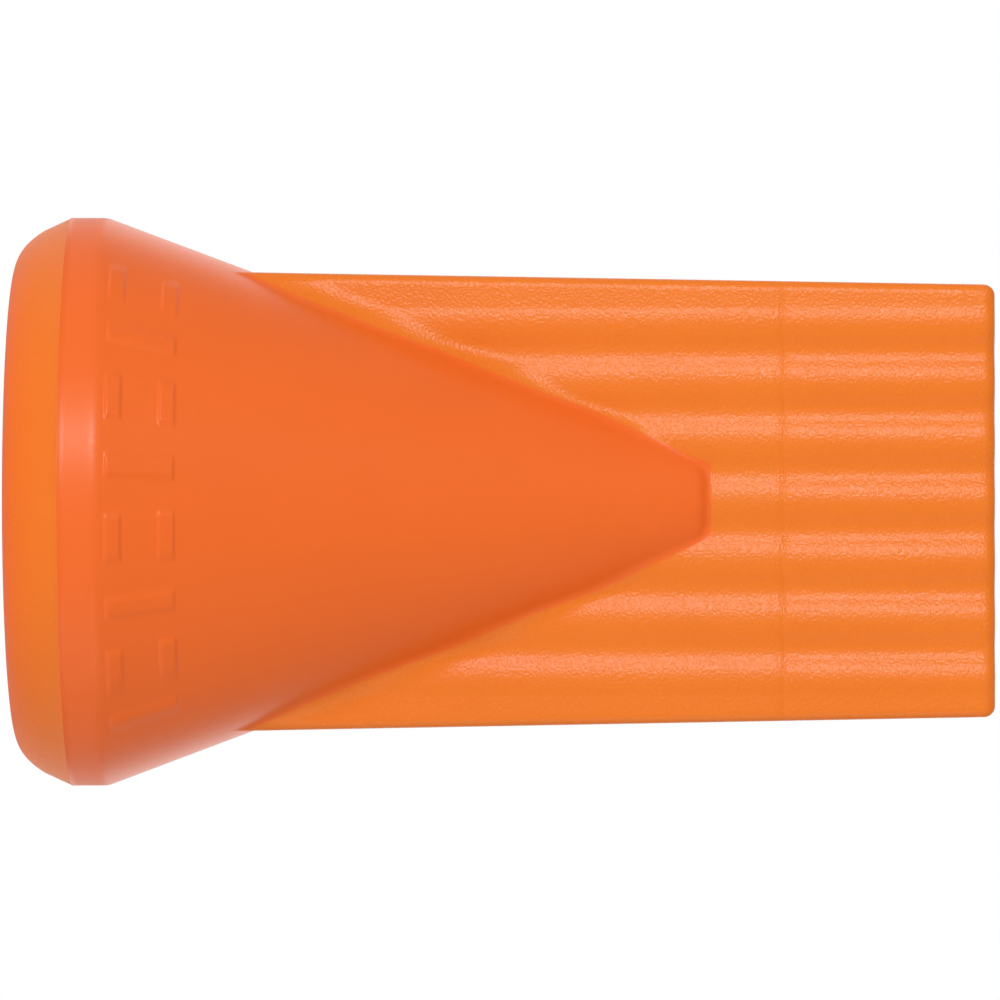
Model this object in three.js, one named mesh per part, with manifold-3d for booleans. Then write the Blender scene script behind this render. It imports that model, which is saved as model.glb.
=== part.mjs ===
// Flat comb nozzle for a snap-together ball-and-socket coolant hose.
//
// A round bell snaps over the hose's last ball. Behind the bell a cone narrows
// and dies into a flat, ribbed body, and seven straight channels run through
// that body from the hollow cone to the outlet face. The nozzle has nothing
// that moves, so its three stretches are fixed to each other face to face.
//
// Millimetres. The axis is +Z, the mouth of the bell is the plane z = 0 with
// its centre at the origin, and the outlet face is the plane z = LENGTH. The
// flat body is wide along X and thin along Y.

import * as THREE from "three";
import { mergeVertices } from "three/addons/utils/BufferGeometryUtils.js";
import Module from "manifold-3d";

// ---- driving dimensions -------------------------------------------------

const LENGTH = 46.8;
const RIM_TOP_Z = 2.7; // fine line round the bell, where rim meets body
const COMB_START_Z = 36.65; // line across the grooves, where they deepen

const BELL_RADIUS = 13.6; // widest part, a short cylindrical land
const LAND_TOP_Z = 4.4; // the land runs from the fine line to here
const CONE_SLOPE = Math.tan(THREE.MathUtils.degToRad(20.6));
const CONE_TIP_Z = 33.05; // the cone is cut off square here

const BALL_RADIUS = 10.6; // seat for the hose's ball
const MOUTH_RADIUS = 9.75; // smaller than the ball, which snaps past it
const FACE_RADIUS = 10.8; // the flat ring round the mouth ends here
const LIP_END = new THREE.Vector2(13, 1.4); // radius and z where the lip's rounding ends
const LIP_PULL_FLAT = new THREE.Vector2(11.6, 0); // the rounding leaves the face towards here
const LIP_PULL_STEEP = new THREE.Vector2(12.3, 0.25); // and reaches its end from here

const SEAT_END_Z = 9.8; // the round seat gives way to a conical hollow here
const PLENUM_END = new THREE.Vector2(1.4, 30); // radius and z of the conical hollow's end

const BODY_HALF_WIDTH = 10.96; // at BODY_START_Z, and then by the draft
const BODY_HALF_THICKNESS = 2.92; // at the ribs' crests, at BODY_START_Z
const BODY_START_Z = 9; // inside the cone, where the flat body begins
const DRAFT = Math.tan(THREE.MathUtils.degToRad(0.96));
const EDGE_RADIUS = 0.45; // long edges of the flat body
const MARGIN_SLOPE = Math.tan(THREE.MathUtils.degToRad(5)); // outside the last ribs
const END_CHAMFER = 0.4; // round the outlet face

const RIB_COUNT = 7;
const RIB_PITCH = 2.84;
const CREST_SHARE = 0.62; // of the radii of a rib and its groove together, the rib's part
const BODY_GROOVE_DEPTH = 0.2;
const COMB_GROOVE_DEPTH = 0.28;

const CHANNEL_RADIUS = 0.9;
const CHANNEL_START_Z = 8.9; // inside the hollow of the bell

// Plain raised bars round the start of the cone: pairs that lie round it, and
// between the pairs single bars that stand along it.
const MARK_HEIGHT = 0.15; // how far a bar stands above the cone
const MARK_DEPTH = 0.8; // from its top to its bottom inside the wall
const MARK_COUNT = 8; // on each broad side
const MARK_STEP = THREE.MathUtils.degToRad(14.5);
const LYING_BAR = { round: 2.1, along: 0.7 };
const LYING_BARS_Z = [5.25, 7.7];
const STANDING_BAR = { round: 0.9, along: 3.3 };
const STANDING_BARS_Z = [6.48];

const ROUND_SEGMENTS = 96;
const CHANNEL_SEGMENTS = 20;
const LIP_SEGMENTS = 8;
const SEAT_SEGMENTS = 5; // within the rim
const HOLLOW_SEGMENTS = 10;
const POINTS_PER_RIB = 10;
const EDGE_POINTS = [0, 0.4, 0.75, 0.95, 1]; // across the long edge's radius

// ---- materials -----------------------------------------------------------

function orangeAcetal(name, color) {
  return new THREE.MeshStandardMaterial({ name, color, roughness: 0.45, metalness: 0 });
}

// ---- solids by boolean ---------------------------------------------------

const wasm = await Module();
wasm.setup();

function toSolid(geometry) {
  const bare = geometry.clone();
  bare.deleteAttribute("normal");
  bare.deleteAttribute("uv");
  const merged = mergeVertices(bare, 1e-5);
  return new wasm.Manifold(new wasm.Mesh({
    numProp: 3,
    vertProperties: new Float32Array(merged.attributes.position.array),
    triVerts: new Uint32Array(merged.index.array),
  }));
}

function toGeometry(solid) {
  const mesh = solid.getMesh();
  const geometry = new THREE.BufferGeometry();
  geometry.setAttribute("position", new THREE.BufferAttribute(mesh.vertProperties, 3));
  geometry.setIndex(new THREE.BufferAttribute(mesh.triVerts, 1));
  geometry.computeVertexNormals();
  return geometry;
}

// ---- outlines ------------------------------------------------------------

// Outer radius of the land and cone at height z.
function coneRadius(z) {
  return BELL_RADIUS - CONE_SLOPE * Math.max(z - LAND_TOP_Z, 0);
}

const BALL_CENTRE_Z = Math.sqrt(BALL_RADIUS ** 2 - MOUTH_RADIUS ** 2);

// Radius of the ball seat at height z.
function seatRadius(z) {
  return Math.sqrt(BALL_RADIUS ** 2 - (z - BALL_CENTRE_Z) ** 2);
}

// The ball seat's arc between two heights, as lathe points.
function seatArc(fromZ, toZ, steps) {
  const points = [];
  for (let i = 0; i <= steps; i += 1) {
    const z = THREE.MathUtils.lerp(fromZ, toZ, i / steps);
    points.push(new THREE.Vector2(seatRadius(z), z));
  }
  return points;
}

// A solid of revolution about +Z. The profile's points are (radius, z).
function turned(points) {
  const geometry = new THREE.LatheGeometry(points, ROUND_SEGMENTS);
  geometry.rotateX(Math.PI / 2);
  return geometry;
}

// ---- flat body -----------------------------------------------------------

const OUTER_CREST = RIB_PITCH * (RIB_COUNT - 1) / 2;

// How far the ribbed face lies below its crests: a wide arc over each rib runs
// smoothly into a tighter one in each groove.
function waveDrop(x, depth) {
  const half = RIB_PITCH / 2;
  const steepest = 2 * Math.atan(depth / half);
  const bothRadii = half / Math.sin(steepest);
  const crest = CREST_SHARE * bothRadii;
  const groove = bothRadii - crest;
  const fromCrest = Math.abs(x - RIB_PITCH * Math.round(x / RIB_PITCH));
  if (fromCrest < crest * Math.sin(steepest)) {
    return crest - Math.sqrt(crest ** 2 - fromCrest ** 2);
  }
  return depth - groove + Math.sqrt(groove ** 2 - (half - fromCrest) ** 2);
}

// How far the face lies below the ribs' crests at distance x from the axis.
// Outside the last crests it falls away at a gentle slope, and the body's long
// edge is rounded.
function faceDrop(x, grooveDepth, halfWidth) {
  const out = Math.abs(x);
  if (out <= OUTER_CREST) return waveDrop(x, grooveDepth);
  const margin = (out - OUTER_CREST) * MARGIN_SLOPE;
  const intoEdge = Math.max(out - (halfWidth - EDGE_RADIUS), 0);
  return margin + EDGE_RADIUS - Math.sqrt(EDGE_RADIUS ** 2 - intoEdge ** 2);
}

// The x positions of a face's points, evenly on the ribs and finer on the edges.
function faceStations(halfWidth) {
  const stations = [];
  const steps = (RIB_COUNT - 1) * POINTS_PER_RIB;
  for (let i = 0; i <= steps; i += 1) {
    stations.push(-OUTER_CREST + i * RIB_PITCH / POINTS_PER_RIB);
  }
  const edge = EDGE_POINTS.map((t) => halfWidth - EDGE_RADIUS + EDGE_RADIUS * t);
  return [...edge.map((x) => -x).reverse(), ...stations, ...edge];
}

// Closed outline of the flat body across the axis, counter-clockwise from above.
function bodyOutline(z, inset, grooveDepth) {
  const taper = DRAFT * (z - BODY_START_Z);
  const halfWidth = BODY_HALF_WIDTH - taper;
  const crest = BODY_HALF_THICKNESS - taper;
  const shrink = (halfWidth - inset) / halfWidth;
  const lower = faceStations(halfWidth).map((x) => new THREE.Vector2(
    x * shrink,
    -(crest - inset - faceDrop(x, grooveDepth, halfWidth)),
  ));
  const upper = lower.map((p) => new THREE.Vector2(-p.x, -p.y));
  return [...lower, ...upper];
}

// A closed solid through outlines of equal length, one above the other.
// Each level is { z, outline }.
function lofted(levels) {
  const size = levels[0].outline.length;
  const positions = [];
  const index = [];
  for (const { z, outline } of levels) {
    for (const p of outline) positions.push(p.x, p.y, z);
  }
  for (let level = 0; level + 1 < levels.length; level += 1) {
    for (let i = 0; i < size; i += 1) {
      const a = level * size + i;
      const b = level * size + (i + 1) % size;
      index.push(a, b, b + size, a, b + size, a + size);
    }
  }
  const top = (levels.length - 1) * size;
  for (const [a, b, c] of THREE.ShapeUtils.triangulateShape(levels[0].outline, [])) {
    index.push(c, b, a);
  }
  for (const [a, b, c] of THREE.ShapeUtils.triangulateShape(levels.at(-1).outline, [])) {
    index.push(top + a, top + b, top + c);
  }
  const geometry = new THREE.BufferGeometry();
  geometry.setAttribute("position", new THREE.Float32BufferAttribute(positions, 3));
  geometry.setIndex(index);
  return geometry;
}

// ---- channels and marks --------------------------------------------------

function ribCentres() {
  return Array.from({ length: RIB_COUNT }, (_, i) => (i - (RIB_COUNT - 1) / 2) * RIB_PITCH);
}

// The straight channels, each under its rib, running out past the outlet face.
function channelCutters() {
  const past = 1;
  const height = LENGTH + past - CHANNEL_START_Z;
  return ribCentres().map((x) => {
    const rod = new THREE.CylinderGeometry(CHANNEL_RADIUS, CHANNEL_RADIUS, height, CHANNEL_SEGMENTS);
    rod.rotateX(Math.PI / 2);
    rod.translate(x, 0, CHANNEL_START_Z + height / 2);
    return toSolid(rod);
  });
}

// One raised bar, turned about the axis from the middle of the broad +Y side.
function markBar(size, z, turn) {
  const bar = new THREE.BoxGeometry(size.round, MARK_DEPTH, size.along);
  bar.translate(0, MARK_HEIGHT - MARK_DEPTH / 2, 0);
  bar.rotateX(Math.atan(CONE_SLOPE));
  bar.translate(0, coneRadius(z), z);
  bar.rotateZ(turn);
  return toSolid(bar);
}

function markBars() {
  const bars = [];
  for (const side of [0, Math.PI]) {
    for (let i = 0; i < MARK_COUNT; i += 1) {
      const turn = side + (i - (MARK_COUNT - 1) / 2) * MARK_STEP;
      const lies = i % 2 === 0;
      const size = lies ? LYING_BAR : STANDING_BAR;
      const heights = lies ? LYING_BARS_Z : STANDING_BARS_Z;
      for (const z of heights) bars.push(markBar(size, z, turn));
    }
  }
  return bars;
}

// ---- the three stretches -------------------------------------------------

// Rounded lip of the bell, up to the fine line.
function socketRim() {
  const lip = new THREE.Path();
  lip.moveTo(FACE_RADIUS, 0);
  lip.bezierCurveTo(
    LIP_PULL_FLAT.x, LIP_PULL_FLAT.y, LIP_PULL_STEEP.x, LIP_PULL_STEEP.y, LIP_END.x, LIP_END.y,
  );
  const profile = [
    ...lip.getPoints(LIP_SEGMENTS),
    new THREE.Vector2(BELL_RADIUS, RIM_TOP_Z),
    ...seatArc(RIM_TOP_Z, 0, SEAT_SEGMENTS),
  ];
  profile.push(profile[0].clone());
  return turned(profile);
}

// Hollow behind the mouth: the ball seat, then the hollow of the cone.
function hollow() {
  const below = RIM_TOP_Z - 1;
  return turned([
    new THREE.Vector2(0, below),
    ...seatArc(below, SEAT_END_Z, HOLLOW_SEGMENTS),
    PLENUM_END,
    new THREE.Vector2(0, PLENUM_END.y + 1),
  ]);
}

// Land, cone and the flat ribbed body up to the line across the grooves.
function nozzleBody() {
  const cone = toSolid(turned([
    new THREE.Vector2(0, RIM_TOP_Z),
    new THREE.Vector2(BELL_RADIUS, RIM_TOP_Z),
    new THREE.Vector2(BELL_RADIUS, LAND_TOP_Z),
    new THREE.Vector2(coneRadius(CONE_TIP_Z), CONE_TIP_Z),
    new THREE.Vector2(0, CONE_TIP_Z),
  ]));
  const flat = toSolid(lofted([BODY_START_Z, COMB_START_Z].map((z) => (
    { z, outline: bodyOutline(z, 0, BODY_GROOVE_DEPTH) }
  ))));
  let body = cone.add(flat);
  for (const bar of markBars()) body = body.add(bar);
  body = body.subtract(toSolid(hollow()));
  for (const channel of channelCutters()) body = body.subtract(channel);
  return toGeometry(body);
}

// The last stretch, with deeper grooves and the outlet face.
function outletComb() {
  let comb = toSolid(lofted([
    { z: COMB_START_Z, outline: bodyOutline(COMB_START_Z, 0, COMB_GROOVE_DEPTH) },
    { z: LENGTH - END_CHAMFER, outline: bodyOutline(LENGTH - END_CHAMFER, 0, COMB_GROOVE_DEPTH) },
    { z: LENGTH, outline: bodyOutline(LENGTH, END_CHAMFER, COMB_GROOVE_DEPTH) },
  ]));
  for (const channel of channelCutters()) comb = comb.subtract(channel);
  return toGeometry(comb);
}

// ---- assembly ------------------------------------------------------------

function part(name, geometry, color) {
  const mesh = new THREE.Mesh(geometry, orangeAcetal(name, color));
  mesh.name = name;
  return mesh;
}

const nozzle = new THREE.Group();
nozzle.add(
  part("socket_rim", socketRim(), 0xef7136),
  part("nozzle_body", nozzleBody(), 0xec6e32),
  part("outlet_comb", outletComb(), 0xf08240),
);

export default nozzle;
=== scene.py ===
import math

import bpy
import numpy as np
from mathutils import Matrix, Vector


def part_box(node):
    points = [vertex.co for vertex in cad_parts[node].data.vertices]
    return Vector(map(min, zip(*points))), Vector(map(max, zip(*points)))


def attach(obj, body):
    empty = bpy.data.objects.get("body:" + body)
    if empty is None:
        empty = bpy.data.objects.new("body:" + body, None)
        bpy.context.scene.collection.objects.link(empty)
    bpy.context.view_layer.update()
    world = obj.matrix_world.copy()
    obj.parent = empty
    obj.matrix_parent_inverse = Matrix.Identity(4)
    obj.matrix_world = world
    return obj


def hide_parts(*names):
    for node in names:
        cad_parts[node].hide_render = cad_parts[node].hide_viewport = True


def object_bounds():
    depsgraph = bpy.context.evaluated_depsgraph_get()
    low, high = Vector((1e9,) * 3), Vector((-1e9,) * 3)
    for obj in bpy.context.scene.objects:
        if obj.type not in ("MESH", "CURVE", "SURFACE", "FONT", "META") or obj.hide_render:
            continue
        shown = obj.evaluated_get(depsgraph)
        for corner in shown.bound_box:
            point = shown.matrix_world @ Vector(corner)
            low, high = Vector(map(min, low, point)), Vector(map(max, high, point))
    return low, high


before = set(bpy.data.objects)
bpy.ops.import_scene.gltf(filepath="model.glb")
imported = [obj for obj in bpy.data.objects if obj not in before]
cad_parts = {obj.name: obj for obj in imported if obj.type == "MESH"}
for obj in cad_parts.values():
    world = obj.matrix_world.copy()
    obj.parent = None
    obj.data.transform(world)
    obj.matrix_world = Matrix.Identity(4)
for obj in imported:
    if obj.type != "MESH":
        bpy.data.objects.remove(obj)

# Flat comb nozzle for a ball-and-socket coolant hose, moulded in orange acetal.
#
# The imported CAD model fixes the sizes. Each of its three stretches is replaced
# here by a finer solid of the same size, with the rounding, the fillet between
# cone and flat body, and the moulded surface of the real one. Plain raised bars
# stand in for the raised lettering round the cone.
#
# The nozzle stands on its mouth with its axis along +Z. It is wide along X and
# thin along Y. Shapes are worked out in millimetres and scaled when a mesh is made.

cad_low, cad_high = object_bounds()

MM = 0.001

# ---- sizes from the frame, in millimetres --------------------------------

PARTING_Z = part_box("socket_rim")[1].z / MM  # fine line round the bell
COMB_START_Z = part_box("outlet_comb")[0].z / MM  # line where the grooves deepen
LENGTH = cad_high.z / MM
BELL_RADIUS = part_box("socket_rim")[1].x / MM
COMB_HALF_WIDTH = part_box("outlet_comb")[1].x / MM
COMB_HALF_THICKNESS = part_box("outlet_comb")[1].y / MM

# ---- other sizes, in millimetres -----------------------------------------

LAND_TOP_Z = 4.4  # the bell's straight land ends and the cone starts
LAND_BEND = 0.25  # half length of the rounded turn from land to cone
CONE_SLOPE = math.tan(math.radians(20.6))
CONE_TIP_Z = 33.05  # the cone is cut off square here
TIP_ROUNDING = 0.65

LIP_CURVE = ((10.8, 0), (11.6, 0), (12.3, 0.25), (13, 1.4))  # (radius, z) control points
LINE_HEIGHT = 0.02  # the fine line stands this far proud
LINE_HALF_WIDTH = 0.06

BALL_RADIUS = 10.6
MOUTH_RADIUS = 9.75
BALL_CENTRE_Z = math.sqrt(BALL_RADIUS ** 2 - MOUTH_RADIUS ** 2)
MOUTH_ROUNDING = 0.15
SEAT_END_Z = 9.8  # the round seat gives way to a conical hollow here
PLENUM_END = (1.4, 30)  # radius and z of the conical hollow's end

DRAFT = math.tan(math.radians(0.96))
EDGE_RADIUS = 0.45  # long edges of the flat body
END_RADIUS = 0.55  # round the outlet face
MARGIN_FOLD = 0.66  # out from the last crest, where the rib ends and the plain margin starts
MARGIN_SLOPE = math.tan(math.radians(2))

RIB_COUNT = 7
RIB_PITCH = 2.84
OUTER_CREST = RIB_PITCH * (RIB_COUNT - 1) / 2
CREST_SHARE = 0.62  # of the radii of a rib and its groove together, the rib's part
BODY_GROOVES = (0.19, 0.225)  # groove depth at the start and end of the body
COMB_GROOVES = (0.265, 0.295)  # groove depth at the start and end of the comb
SEAM_DEPTH = 0.03  # the broad faces dip slightly at the line where the comb starts
SEAM_HALF_WIDTH = 0.22

FILLET_Z = (11.5, 14, 20, 29, 32.5)  # along the seam between cone and flat body
FILLET_RADII = (0.6, 1.5, 1.5, 1.0, 0.3)
FILLET_LEAST_TURN = 0.01  # squared sine between two faces, below which a fillet stops growing

CHANNEL_RADIUS = 0.9
CHANNEL_START_Z = 8.9
CHANNEL_LEAD = 0.15  # small countersink at the outlet face
CUTTER_OVERLAP = 1  # the hollow's cutter starts this far below the body

SHARP_ANGLE = math.radians(38)  # edges that turn by more than this stay sharp in the shading

# Plain raised bars round the start of the cone: pairs that lie round it, and
# between the pairs single bars that stand along it.
MARK_COUNT = 8  # on each broad side
MARK_STEP = math.radians(14.5)
MARK_RELIEF = 0.1
MARK_EDGE = 0.16  # how wide a bar's rounded edge is
LYING_BAR = (2.1, 0.7)  # size round the cone and along it
LYING_BARS_Z = (5.25, 7.7)
STANDING_BAR = (0.9, 3.1)
STANDING_BARS_Z = (6.48,)


# ---- mesh helpers ---------------------------------------------------------

def mesh_object(name, points, faces):
    """A mesh object from points in millimetres."""
    mesh = bpy.data.meshes.new(name)
    mesh.from_pydata((np.asarray(points) * MM).tolist(), [], faces)
    mesh.validate()
    piece = bpy.data.objects.new(name, mesh)
    bpy.context.scene.collection.objects.link(piece)
    return piece


def circle(x, radius, z, segments):
    """Points of a level circle about (x, 0, z), counter-clockwise from above."""
    turns = np.arange(segments) * 2 * math.pi / segments
    return np.stack([x + radius * np.cos(turns), radius * np.sin(turns), np.full(segments, z)], 1)


def ring_faces(levels, size):
    """Quads between rings of equal size that are stacked upwards."""
    faces = []
    for level in range(levels - 1):
        for i in range(size):
            a = level * size + i
            b = level * size + (i + 1) % size
            faces.append((a, b, b + size, a + size))
    return faces


def stacked_solid(name, rings):
    """A closed solid through rings, each an (n, 3) array, counter-clockwise from above."""
    levels, size = len(rings), len(rings[0])
    faces = ring_faces(levels, size)
    faces.append(tuple(reversed(range(size))))
    faces.append(tuple(range((levels - 1) * size, levels * size)))
    return mesh_object(name, np.concatenate(rings), faces)


def turned_solid(name, profile, segments):
    """A solid of revolution about Z from a closed loop of (radius, z) off the axis."""
    points = [circle(0, radius, z, segments) for radius, z in profile]
    faces = ring_faces(len(profile), segments)
    last = (len(profile) - 1) * segments
    for i in range(segments):
        j = (i + 1) % segments
        faces.append((last + i, last + j, j, i))
    return mesh_object(name, np.concatenate(points), faces)


def cut_away(piece, cutters):
    """Cuts the cutters from the piece for good and deletes them."""
    for cutter in cutters:
        cut = piece.modifiers.new("cut", "BOOLEAN")
        cut.operation = "DIFFERENCE"
        cut.solver = "MANIFOLD"
        cut.object = cutter
    graph = bpy.context.evaluated_depsgraph_get()
    result = bpy.data.meshes.new_from_object(piece.evaluated_get(graph))
    piece.modifiers.clear()
    piece.data = result
    for cutter in cutters:
        bpy.data.objects.remove(cutter)


def shade(piece):
    """Smooth shading that keeps real edges sharp."""
    piece.data.shade_smooth()
    piece.data.set_sharp_from_angle(angle=SHARP_ANGLE)


# ---- shape of the outside -------------------------------------------------

def smooth_min(a, b, width):
    """The smaller of two distances, blended where they are within width of each other."""
    blend = np.clip(1 - np.abs(a - b) / width, 0, 1)
    return np.minimum(a, b) - blend ** 2 * width / 4


def smooth_max(a, b, width):
    """The larger of two distances, blended in the same way."""
    return -smooth_min(-a, -b, width)


def rounded_corner(a, b, radius):
    """Distance outside two faces whose common edge is rounded."""
    beyond_both = np.hypot(np.maximum(a + radius, 0), np.maximum(b + radius, 0))
    return beyond_both + np.minimum(np.maximum(a + radius, b + radius), 0) - radius


def ease(t):
    """0 to 1 with flat ends, as t goes from 0 to 1."""
    t = np.clip(t, 0, 1)
    return t * t * (3 - 2 * t)


def lip_points(steps):
    """The rounded lip of the bell from its flat face outwards, as (radius, z)."""
    p = np.array(LIP_CURVE, float)
    t = np.linspace(0, 1, steps)[:, None]
    return (1 - t) ** 3 * p[0] + 3 * t * (1 - t) ** 2 * p[1] + 3 * t ** 2 * (1 - t) * p[2] + t ** 3 * p[3]


def line_bead(z):
    """The fine raised line left round the bell where the mould parts."""
    return LINE_HEIGHT * np.clip(1 - ((z - PARTING_Z) / LINE_HALF_WIDTH) ** 2, 0, 1)


def cone_radius(z):
    """Radius of the land and the cone at height z, with a rounded turn between them."""
    past = z - LAND_TOP_Z
    turn = (past + LAND_BEND) ** 2 / (4 * LAND_BEND)
    fall = np.where(past < -LAND_BEND, 0, np.where(past > LAND_BEND, past, turn))
    return BELL_RADIUS - CONE_SLOPE * fall


def mark_relief(x, y, z):
    """Height of the raised bars round the start of the cone."""
    turn = np.arctan2(x * np.where(y > 0, -1, 1), np.abs(y))
    relief = np.zeros(np.shape(turn + z))
    for i in range(MARK_COUNT):
        lies = i % 2 == 0
        size = LYING_BAR if lies else STANDING_BAR
        off_middle = np.abs(turn - (i - (MARK_COUNT - 1) / 2) * MARK_STEP) * cone_radius(z)
        for bar_z in LYING_BARS_Z if lies else STANDING_BARS_Z:
            inside = np.minimum(size[0] / 2 - off_middle, size[1] / 2 - np.abs(z - bar_z))
            relief = np.maximum(relief, MARK_RELIEF * ease(0.5 + inside / MARK_EDGE))
    return relief


def body_groove_depth(z):
    """Depth of the body's grooves at height z."""
    return np.interp(z, (LAND_TOP_Z, COMB_START_Z), BODY_GROOVES)


def comb_groove_depth(z):
    """Depth of the comb's grooves at height z, a step deeper than the body's."""
    return np.interp(z, (COMB_START_Z, LENGTH), COMB_GROOVES)


def wave_drop(x, depth):
    """How far the ribbed face lies below its crests: arcs over the ribs and in the grooves."""
    half = RIB_PITCH / 2
    steepest = 2 * np.arctan(2 * depth / RIB_PITCH)
    radii = half / np.sin(steepest)
    crest, groove = CREST_SHARE * radii, (1 - CREST_SHARE) * radii
    from_crest = np.abs((x / RIB_PITCH + 0.5) % 1 - 0.5) * RIB_PITCH
    from_groove = half - from_crest
    on_crest = crest - np.sqrt(np.maximum(crest ** 2 - from_crest ** 2, 0))
    in_groove = depth - groove + np.sqrt(np.maximum(groove ** 2 - from_groove ** 2, 0))
    return np.where(from_crest < crest * np.sin(steepest), on_crest, in_groove)


def face_drop(x, depth):
    """How far the broad face lies below its crests. Outside the last ribs are plain margins."""
    past_fold = np.maximum(np.abs(x) - OUTER_CREST - MARGIN_FOLD, 0)
    fold_drop = wave_drop(OUTER_CREST + MARGIN_FOLD, depth)
    return np.where(past_fold > 0, fold_drop + past_fold * MARGIN_SLOPE, wave_drop(x, depth))


def body_distance(x, y, z, depth):
    """Distance outside the flat body, negative inside it."""
    taper = DRAFT * (COMB_START_Z - z)
    out_x = np.abs(x) - (COMB_HALF_WIDTH + taper)
    seam = SEAM_DEPTH * np.clip(1 - np.abs(z - COMB_START_Z) / SEAM_HALF_WIDTH, 0, 1)
    out_y = np.abs(y) - (COMB_HALF_THICKNESS + taper - seam - face_drop(x, depth))
    return rounded_corner(out_x, out_y, EDGE_RADIUS)


def cone_distance(x, y, z):
    """Distance outside the land, bars and cone, and the share of the side in it."""
    radius = cone_radius(z) + mark_relief(x, y, z) + line_bead(z)
    side = (np.hypot(x, y) - radius) * math.cos(math.atan(CONE_SLOPE))
    end = z - CONE_TIP_Z
    side_share = np.clip(0.5 + (side - end) / (2 * TIP_ROUNDING), 0, 1)
    return smooth_max(side, end, TIP_ROUNDING), side_share


def fillet(a, b, radius, alike):
    """Joins two distances with a rolled fillet. alike is the cosine between their normals."""
    in_a, in_b = radius - a, radius - b
    turn = np.maximum(1 - alike ** 2, FILLET_LEAST_TURN)
    span = np.maximum(in_a ** 2 + in_b ** 2 - 2 * alike * in_a * in_b, 0)
    rolled = radius - np.sqrt(span / turn)
    touches_both = (in_a > alike * in_b) & (in_b > alike * in_a)
    return np.where(touches_both, np.minimum(rolled, np.minimum(a, b)), np.minimum(a, b))


def outside(x, y, z):
    """Distance outside the cone and flat body together, with the fillet between them."""
    cone, side_share = cone_distance(x, y, z)
    body = body_distance(x, y, z, body_groove_depth(z))
    lean = math.cos(math.atan(CONE_SLOPE)) * side_share
    on_edge = np.abs(x) > COMB_HALF_WIDTH + DRAFT * (COMB_START_Z - z)
    alike = np.where(on_edge, np.abs(x), np.abs(y)) / np.hypot(x, y) * lean
    return fillet(cone, body, np.interp(z, FILLET_Z, FILLET_RADII), alike)


def comb_outside(x, y, z):
    """Distance outside the comb, rounded over at the outlet face."""
    side = body_distance(x, y, z, comb_groove_depth(z))
    return rounded_corner(side, z - LENGTH, END_RADIUS)


# ---- from distances to rings ----------------------------------------------

SPINE = 8.0  # rays start from a spine of this half length, along X
REACH = 16  # longer than any ray needs to be
HALVINGS = 40
FACE_RAYS = 112  # over each broad face
CORNER_ANGLES = (-90, -56, -38, 0)  # degrees: face end, long edge's two sides, narrow side's middle
BODY_CORNER_RAYS = (18, 10, 9)  # between those angles
COMB_CORNER_RAYS = (8, 10, 9)

FINE_STEP = 0.045  # height between rings
MIDDLE_STEP = 0.2
COARSE_STEP = 0.3
MARK_BANDS = ((4.7, 5.75), (7.2, 8.2))  # heights with the rounded edges of the bars
LIP_STEPS = 28
SEAT_STEPS = 16
ROUNDING_STEPS = 8
TURN_SEGMENTS = 192
HOLLOW_SEGMENTS = 128
CHANNEL_SEGMENTS = 32


def ray_fan(corner_rays):
    """Start x and direction angle of one ring's rays, counter-clockwise from above."""
    parts = []
    for start, end, count in zip(CORNER_ANGLES, CORNER_ANGLES[1:], corner_rays):
        parts.append(np.radians(np.linspace(start, end, count, endpoint=False)))
    quarter = np.concatenate(parts)
    right = np.concatenate([quarter, [0], -quarter[:0:-1]])
    face = np.linspace(SPINE, -SPINE, FACE_RAYS, endpoint=False)
    starts = np.concatenate([np.full(len(right), SPINE), face])
    angles = np.concatenate([right, np.full(len(face), math.pi / 2)])
    return np.concatenate([starts, -starts]), np.concatenate([angles, angles + math.pi])


def rings_on(surface, heights, fan):
    """For each height, the points where the rays cross the surface, found by halving."""
    starts, angles = fan
    z = np.asarray(heights, float)[:, None]
    dx, dy = np.cos(angles)[None], np.sin(angles)[None]
    near = np.zeros((len(heights), len(angles)))
    far = near + REACH
    for _ in range(HALVINGS):
        middle = (near + far) / 2
        is_out = surface(starts + middle * dx, middle * dy, z) > 0
        far = np.where(is_out, middle, far)
        near = np.where(is_out, near, middle)
    points = np.stack([starts + near * dx, near * dy, np.broadcast_to(z, near.shape)], 2)
    return list(points)


def spaced(*stretches):
    """Heights from stretches (start, end, step), each without its end, in order."""
    parts = []
    for start, end, step in stretches:
        count = max(round((end - start) / step), 1)
        parts.append(np.linspace(start, end, count, endpoint=False))
    return np.concatenate(parts)


# ---- shape of the inside ---------------------------------------------------

def seat_radius(z):
    """Radius of the ball seat at height z."""
    return np.sqrt(BALL_RADIUS ** 2 - (z - BALL_CENTRE_Z) ** 2)


def hollow_radius(z):
    """Radius of the hollow at height z: the ball seat, then the conical plenum."""
    if z < SEAT_END_Z:
        return seat_radius(z)
    return np.interp(z, (SEAT_END_Z, PLENUM_END[1]), (seat_radius(SEAT_END_Z), PLENUM_END[0]))


def hollow_cutter():
    """Cuts the ball seat and the conical plenum behind it."""
    seat_heights = np.arange(PARTING_Z - CUTTER_OVERLAP, SEAT_END_Z, MIDDLE_STEP)
    heights = np.append(seat_heights, (SEAT_END_Z, PLENUM_END[1]))
    return stacked_solid("hollow", [circle(0, hollow_radius(z), z, HOLLOW_SEGMENTS) for z in heights])


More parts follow.
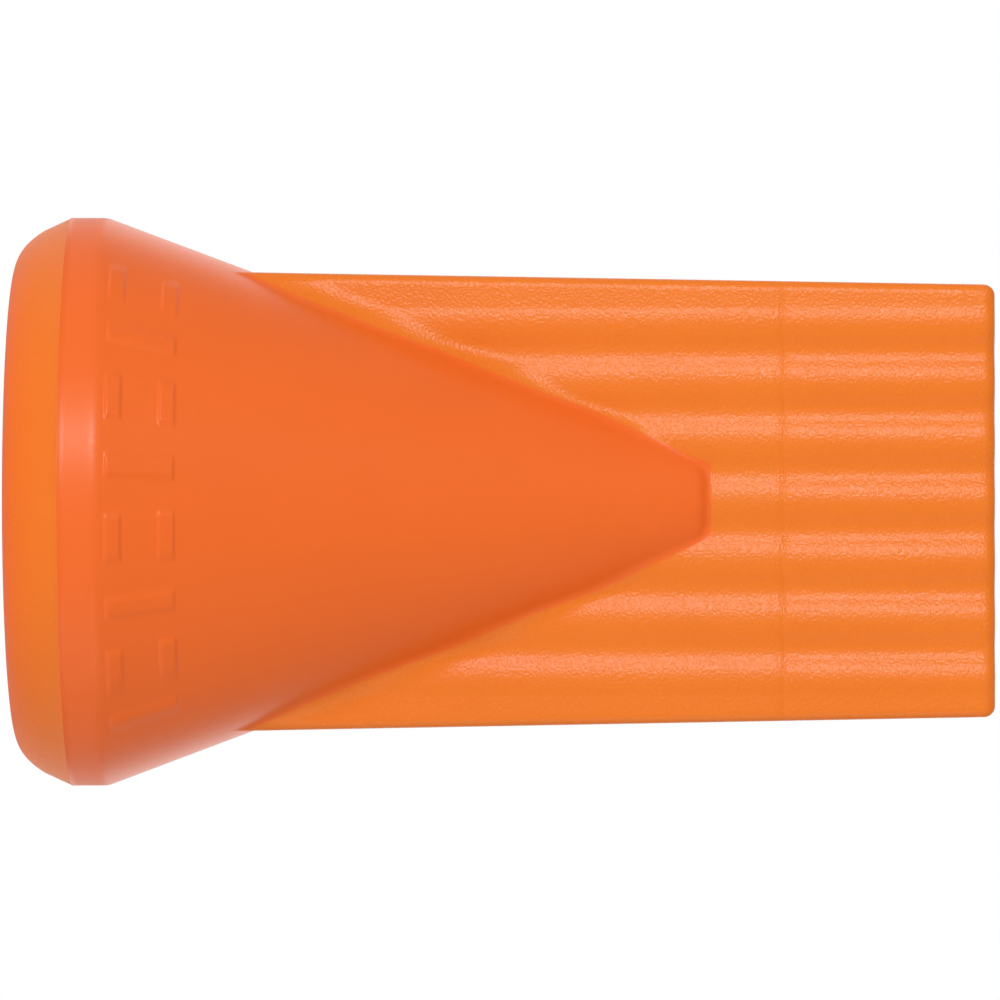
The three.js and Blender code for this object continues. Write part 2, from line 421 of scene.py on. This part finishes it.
def channel_cutter(x):
    """One straight outlet channel with a small countersink at the face."""
    profile = (
        (CHANNEL_RADIUS, CHANNEL_START_Z),
        (CHANNEL_RADIUS, LENGTH - CHANNEL_LEAD),
        (CHANNEL_RADIUS + 2 * CHANNEL_LEAD, LENGTH + CHANNEL_LEAD),
    )
    return stacked_solid("channel", [circle(x, radius, z, CHANNEL_SEGMENTS) for radius, z in profile])


def channel_cutters():
    """One channel under each rib."""
    return [channel_cutter((i - (RIB_COUNT - 1) / 2) * RIB_PITCH) for i in range(RIB_COUNT)]


# ---- the three pieces ------------------------------------------------------

def make_rim():
    """Rounded lip of the bell with its flat face, up to the fine line."""
    lip = [tuple(point) for point in lip_points(LIP_STEPS)]
    lip_radius, lip_z = lip[-1]
    slope = (BELL_RADIUS - lip_radius) / (PARTING_Z - lip_z)
    line_start = PARTING_Z - LINE_HALF_WIDTH
    chamfer_z = spaced((lip_z, line_start, MIDDLE_STEP), (line_start, PARTING_Z, FINE_STEP / 3))[1:]
    chamfer = [(lip_radius + slope * (z - lip_z) + line_bead(z), z) for z in chamfer_z]
    seam = [(BELL_RADIUS + LINE_HEIGHT, PARTING_Z)]
    seat = [(seat_radius(z), z) for z in np.linspace(PARTING_Z, MOUTH_ROUNDING, SEAT_STEPS)]
    middle = seat_radius(MOUTH_ROUNDING) + MOUTH_ROUNDING
    quarter = np.linspace(0, math.pi / 2, ROUNDING_STEPS)[1:]
    corner = [(middle - MOUTH_ROUNDING * math.cos(a), MOUTH_ROUNDING * (1 - math.sin(a))) for a in quarter]
    return turned_solid("socket_rim_moulded", lip + chamfer + seam + seat + corner, TURN_SEGMENTS)


def make_body():
    """Land, cone and flat ribbed body."""
    line_end = PARTING_Z + LINE_HALF_WIDTH
    bend_start = LAND_TOP_Z - LAND_BEND
    first_bars, last_bars = MARK_BANDS
    seam_start = COMB_START_Z - SEAM_HALF_WIDTH
    heights = spaced(
        (PARTING_Z, line_end, FINE_STEP / 2), (line_end, bend_start, COARSE_STEP),
        (bend_start, first_bars[0], 2 * FINE_STEP), (*first_bars, FINE_STEP),
        (first_bars[1], last_bars[0], MIDDLE_STEP), (*last_bars, FINE_STEP),
        (last_bars[1], CONE_TIP_Z - TIP_ROUNDING, MIDDLE_STEP),
        (CONE_TIP_Z - TIP_ROUNDING, CONE_TIP_Z + TIP_ROUNDING, 2 * FINE_STEP),
        (CONE_TIP_Z + TIP_ROUNDING, seam_start, COARSE_STEP), (seam_start, COMB_START_Z, FINE_STEP),
    )
    heights = np.append(heights, COMB_START_Z)
    body = stacked_solid("nozzle_body_moulded", rings_on(outside, heights, ray_fan(BODY_CORNER_RAYS)))
    cut_away(body, [hollow_cutter(), *channel_cutters()])
    return body


def make_comb():
    """The deeper-grooved end of the flat body, with the outlet face."""
    seam_end = COMB_START_Z + SEAM_HALF_WIDTH
    start = LENGTH - END_RADIUS
    round_over = start + END_RADIUS * np.sin(np.linspace(0, math.pi / 2, ROUNDING_STEPS))
    straight = spaced((COMB_START_Z, seam_end, FINE_STEP), (seam_end, start, COARSE_STEP))
    heights = np.concatenate([straight, round_over])
    comb = stacked_solid("outlet_comb_moulded", rings_on(comb_outside, heights, ray_fan(COMB_CORNER_RAYS)))
    cut_away(comb, channel_cutters())
    return comb


# ---- material ---------------------------------------------------------------

SMOOTH_COLOURS = ((0.88, 0.142, 0.0145, 1), (0.92, 0.154, 0.0175, 1))
GRAINED_COLOURS = ((0.84, 0.183, 0.0105, 1), (0.89, 0.203, 0.0135, 1))
TONE_SCALE = 220  # soft patches of slightly different colour, in a metre
TONE_DETAIL = 4
ROUGHNESS = (0.3, 0.42)  # least and most
REFRACTION = 1.37  # set by the strength of the photo's highlights; acetal's own is 1.48
MASK_EDGE = (0.11, 0.2)  # mm outside the cone, over which the grain comes in
GRAIN_SCALE = 8000  # noise cells in a metre
GRAIN_DETAIL = 0
GRAIN_DEPTH = 0.000021  # metres
POLISH = 0.12  # how much of the grain is left where the mould was polished


def wire(tree, kind, settings=(), in_order=(), **by_name):
    """Adds a node. An input is a value, or another node's output to link."""
    node = tree.nodes.new(kind)
    for name, value in dict(settings).items():
        setattr(node, name, value)
    inputs = list(zip(node.inputs, in_order))
    inputs += [(node.inputs[name.replace("_", " ")], value) for name, value in by_name.items()]
    for socket, value in inputs:
        if isinstance(value, bpy.types.NodeSocket):
            tree.links.new(value, socket)
        else:
            socket.default_value = value
    return node


def colour_ramp(tree, factor, colours):
    """The colour between two colours that the factor asks for."""
    ramp = wire(tree, "ShaderNodeValToRGB", Fac=factor)
    for element, colour in zip(ramp.color_ramp.elements, colours):
        element.color = colour
    return ramp.outputs["Color"]


def off_the_cone(tree, position):
    """0 on the land, bars and cone and inside them, 1 further out or past the tip."""
    mask_start, mask_end = (edge * MM for edge in MASK_EDGE)
    tip = CONE_TIP_Z * MM
    axes = wire(tree, "ShaderNodeSeparateXYZ", Vector=position).outputs
    across = wire(tree, "ShaderNodeCombineXYZ", X=axes["X"], Y=axes["Y"]).outputs["Vector"]
    radius = wire(tree, "ShaderNodeVectorMath", {"operation": "LENGTH"}, Vector=across).outputs["Value"]
    # z * slope + radius is the same all along the cone, and less on the land and inside.
    level = wire(tree, "ShaderNodeMath", {"operation": "MULTIPLY_ADD"}, (axes["Z"], CONE_SLOPE, radius))
    cone = (BELL_RADIUS + CONE_SLOPE * LAND_TOP_Z) * MM
    outside_it = wire(tree, "ShaderNodeMapRange", Value=level.outputs["Value"],
                      From_Min=cone + mask_start, From_Max=cone + mask_end)
    past_tip = wire(tree, "ShaderNodeMapRange", Value=axes["Z"],
                    From_Min=tip + mask_start, From_Max=tip + mask_end)
    either = wire(tree, "ShaderNodeMath", {"operation": "MAXIMUM"},
                  (outside_it.outputs["Result"], past_tip.outputs["Result"]))
    return either.outputs["Value"]


def acetal(name, grained_everywhere=False):
    """Satin orange acetal: nearly smooth on the land and cone, with a fine grain elsewhere."""
    material = bpy.data.materials.new(name)
    material.use_nodes = True
    tree = material.node_tree
    shader = tree.nodes["Principled BSDF"]
    position = wire(tree, "ShaderNodeTexCoord").outputs["Object"]
    grained = 1.0 if grained_everywhere else off_the_cone(tree, position)

    tone = wire(tree, "ShaderNodeTexNoise", Vector=position, Scale=TONE_SCALE, Detail=TONE_DETAIL)
    smooth_colour = colour_ramp(tree, tone.outputs["Fac"], SMOOTH_COLOURS)
    grained_colour = colour_ramp(tree, tone.outputs["Fac"], GRAINED_COLOURS)
    mix = wire(tree, "ShaderNodeMix", {"data_type": "RGBA"},
               Factor=grained, A=smooth_colour, B=grained_colour)
    tree.links.new(mix.outputs["Result"], shader.inputs["Base Color"])

    noise = wire(tree, "ShaderNodeTexNoise", Vector=position, Scale=GRAIN_SCALE, Detail=GRAIN_DETAIL)
    grain = noise.outputs["Fac"]
    strength = wire(tree, "ShaderNodeMapRange", Value=grained, To_Min=POLISH, To_Max=1)
    bump = wire(tree, "ShaderNodeBump", Height=grain, Strength=strength.outputs["Result"],
                Distance=GRAIN_DEPTH)
    tree.links.new(bump.outputs["Normal"], shader.inputs["Normal"])

    roughness = wire(tree, "ShaderNodeMapRange", Value=grain, To_Min=ROUGHNESS[0], To_Max=ROUGHNESS[1])
    tree.links.new(roughness.outputs["Result"], shader.inputs["Roughness"])
    shader.inputs["IOR"].default_value = REFRACTION
    return material


# ---- camera, floor and lights -----------------------------------------------

# Metres and watts, except where millimetres are named.
WHITE = (1, 1, 1, 1)
CAMERA_DISTANCE = 0.36
CLIP_START = 0.05
CLIP_END = 20
VIEW_WIDTH = 0.04796  # what the picture spans at the nozzle's middle
PICTURE_MIDDLE = (-0.00003, 0, 0.02317)
PICTURE_ROLL = math.radians(0.06)
KEY_ANGLE = math.radians(25.6)  # from the camera towards the picture's top
KEY_DISTANCE = 0.6
KEY_PLACE = (-KEY_DISTANCE * math.sin(KEY_ANGLE), -KEY_DISTANCE * math.cos(KEY_ANGLE), 0.04)
KEY_SIZE = (0.08, 0.3)  # a strip along the nozzle
KEY_POWER = 2.3
FILL_PLACE = (0.5, -0.3, 0.04)
FILL_SIZE = (0.4, 0.4)
FILL_POWER = 0.5
LIGHT_TARGET = (0, 0, 0.02)
SKY_LIGHT = 0.44
BACKGROUND_LIGHT = 1.5
BACKGROUND_EDGE = (0.6, 0.9)  # Y of a direction, over which the sky turns into background
FLOOR_TONE = 0.75
FLOOR_GLOW = 0.33  # light that the floor gives off by itself
FLOOR_Z = -0.05  # mm, just clear of the face that the nozzle stands on
FLOOR_REACH = 2000  # mm


def look_at(thing, place, target, up=(0, 0, 1)):
    """Puts thing at place with its -Z towards the target."""
    back = (Vector(place) - Vector(target)).normalized()
    right = Vector(up).cross(back).normalized()
    turn = Matrix((right, back.cross(right), back)).transposed()
    thing.matrix_world = Matrix.Translation(place) @ turn.to_4x4()


def make_camera():
    """Square on to the broad side, rolled so that the outlet points to the right."""
    data = bpy.data.cameras.new("camera")
    data.lens = data.sensor_width * CAMERA_DISTANCE / VIEW_WIDTH
    data.clip_start = CLIP_START
    data.clip_end = CLIP_END
    camera = bpy.data.objects.new("camera", data)
    bpy.context.scene.collection.objects.link(camera)
    up = (-math.cos(PICTURE_ROLL), 0, math.sin(PICTURE_ROLL))
    x, y, z = PICTURE_MIDDLE
    look_at(camera, (x, y - CAMERA_DISTANCE, z), PICTURE_MIDDLE, up)
    bpy.context.scene.camera = camera


def soft_light(name, place, size, power):
    """An oval light aimed at the nozzle. size is its width and height in metres."""
    data = bpy.data.lights.new(name, "AREA")
    data.shape = "ELLIPSE"
    data.size, data.size_y = size
    data.energy = power
    lamp = bpy.data.objects.new(name, data)
    bpy.context.scene.collection.objects.link(lamp)
    look_at(lamp, place, LIGHT_TARGET)
    lamp.visible_camera = False


def white_to_camera(tree, white_kind, lit):
    """Plain white where the camera looks straight at it; the lit shader for every other ray."""
    white = wire(tree, white_kind, Color=WHITE).outputs[0]
    seen_directly = wire(tree, "ShaderNodeLightPath").outputs["Is Camera Ray"]
    return wire(tree, "ShaderNodeMixShader", (), (seen_directly, lit, white)).outputs["Shader"]


def make_floor():
    """A white floor that hides nothing when looked at from below."""
    corners = ((-1, -1), (1, -1), (1, 1), (-1, 1))
    points = [(x * FLOOR_REACH, y * FLOOR_REACH, FLOOR_Z) for x, y in corners]
    floor = mesh_object("studio_floor", points, [(0, 1, 2, 3)])
    material = bpy.data.materials.new("floor_white")
    material.use_nodes = True
    tree = material.node_tree
    shader = tree.nodes["Principled BSDF"]
    shader.inputs["Base Color"].default_value = (FLOOR_TONE, FLOOR_TONE, FLOOR_TONE, 1)
    shader.inputs["Roughness"].default_value = 1
    shader.inputs["Specular IOR Level"].default_value = 0
    shader.inputs["Emission Color"].default_value = WHITE
    shader.inputs["Emission Strength"].default_value = FLOOR_GLOW
    seen = white_to_camera(tree, "ShaderNodeEmission", shader.outputs["BSDF"])
    clear = wire(tree, "ShaderNodeBsdfTransparent").outputs["BSDF"]
    from_below = wire(tree, "ShaderNodeNewGeometry").outputs["Backfacing"]
    floor_shader = wire(tree, "ShaderNodeMixShader", (), (from_below, seen, clear)).outputs["Shader"]
    tree.links.new(floor_shader, tree.nodes["Material Output"].inputs["Surface"])
    floor.data.materials.append(material)


def make_sky():
    """White all round to the camera. As a light it is soft, and brightest behind the nozzle."""
    world = bpy.data.worlds.new("studio_white")
    world.use_nodes = True
    tree = world.node_tree
    place = wire(tree, "ShaderNodeTexCoord").outputs["Generated"]
    back = wire(tree, "ShaderNodeSeparateXYZ", Vector=place).outputs["Y"]
    sky_end, background_start = BACKGROUND_EDGE
    strength = wire(tree, "ShaderNodeMapRange", {"interpolation_type": "SMOOTHSTEP"}, Value=back,
                    From_Min=sky_end, From_Max=background_start,
                    To_Min=SKY_LIGHT, To_Max=BACKGROUND_LIGHT)
    lit = wire(tree, "ShaderNodeBackground", Color=WHITE, Strength=strength.outputs["Result"])
    seen = white_to_camera(tree, "ShaderNodeBackground", lit.outputs["Background"])
    tree.links.new(seen, tree.nodes["World Output"].inputs["Surface"])
    bpy.context.scene.world = world


# ---- putting it together -----------------------------------------------------

rim_acetal = acetal("acetal_rim", grained_everywhere=True)
body_acetal = acetal("acetal_body")
comb_acetal = acetal("acetal_comb", grained_everywhere=True)

for piece, node, slot, material in (
    (make_rim(), "socket_rim", "rim_acetal", rim_acetal),
    (make_body(), "nozzle_body", "body_acetal", body_acetal),
    (make_comb(), "outlet_comb", "comb_acetal", comb_acetal),
):
    shade(piece)
    piece.data.materials.clear()
    piece.data.materials.append(material)
    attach(piece, "root")
    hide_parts(node)

make_camera()
make_floor()
make_sky()
soft_light("key", KEY_PLACE, KEY_SIZE, KEY_POWER)
soft_light("fill", FILL_PLACE, FILL_SIZE, FILL_POWER)

bpy.context.scene.view_settings.view_transform = "Standard"
